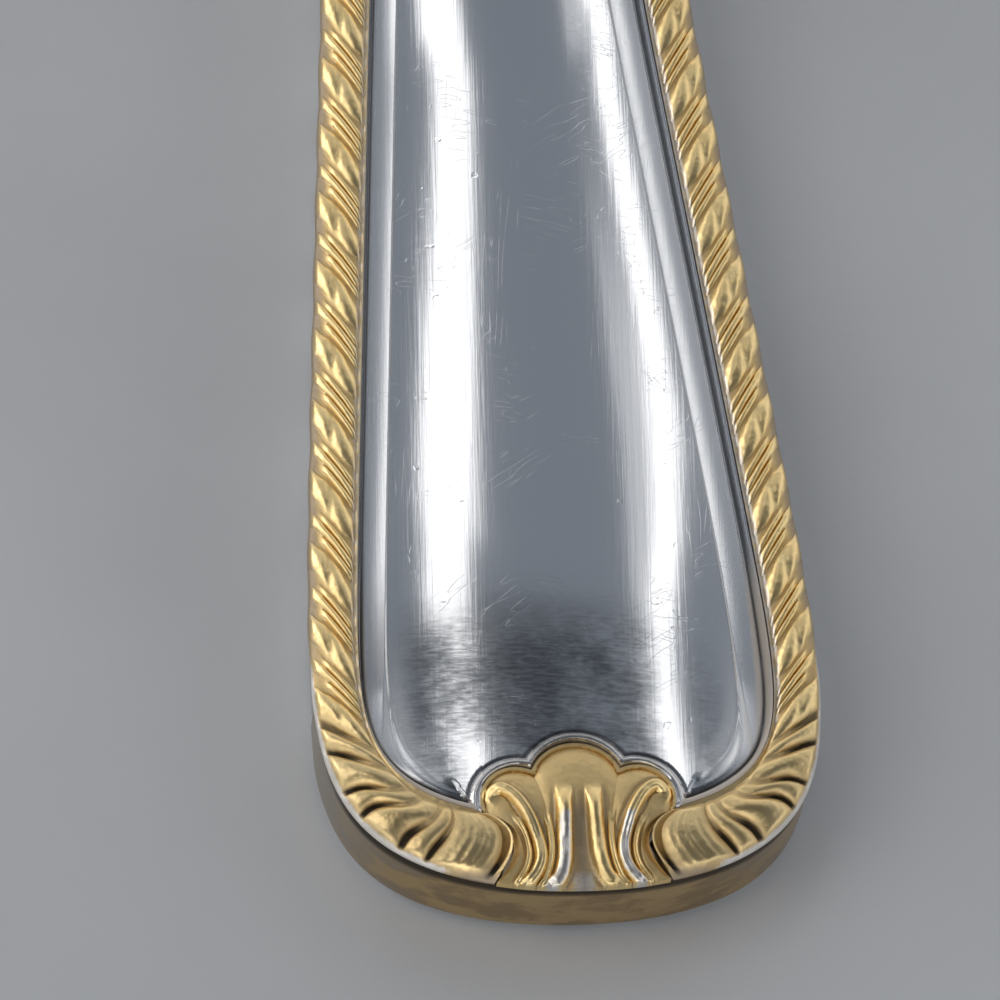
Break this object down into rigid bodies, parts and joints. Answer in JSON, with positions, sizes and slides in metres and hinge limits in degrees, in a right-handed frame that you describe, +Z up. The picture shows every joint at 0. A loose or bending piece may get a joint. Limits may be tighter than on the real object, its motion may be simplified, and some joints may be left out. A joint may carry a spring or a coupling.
{
  "type": "dinner fork",
  "caption": "Silver dinner fork with a tapering handle, a crowned plain panel, a gilt gadroon border and a gilt shell at the rounded handle end.",
  "frame": {"origin": "middle of the fork's length and width, on the table that it lies on", "axes": "+Y along the fork from the handle's end to the tine tips, +Z up from the table through the ornamented face, +X to the right seen from the handle's end"},
  "size_m": [0.0256, 0.2, 0.0157],
  "materials": {
    "silver": "polished, with fine scratches from use",
    "gold": "polished gilding, rubbed thin on the high places",
    "worn_gold": "dull, worn gilding"
  },
  "bodies": {
    "root": {"fork_blank": "silver", "gilt_border_left": "gold", "gilt_border_right": "gold", "gilt_shell": "gold", "gilt_edge_band": "worn_gold"}
  },
  "joints": []
}
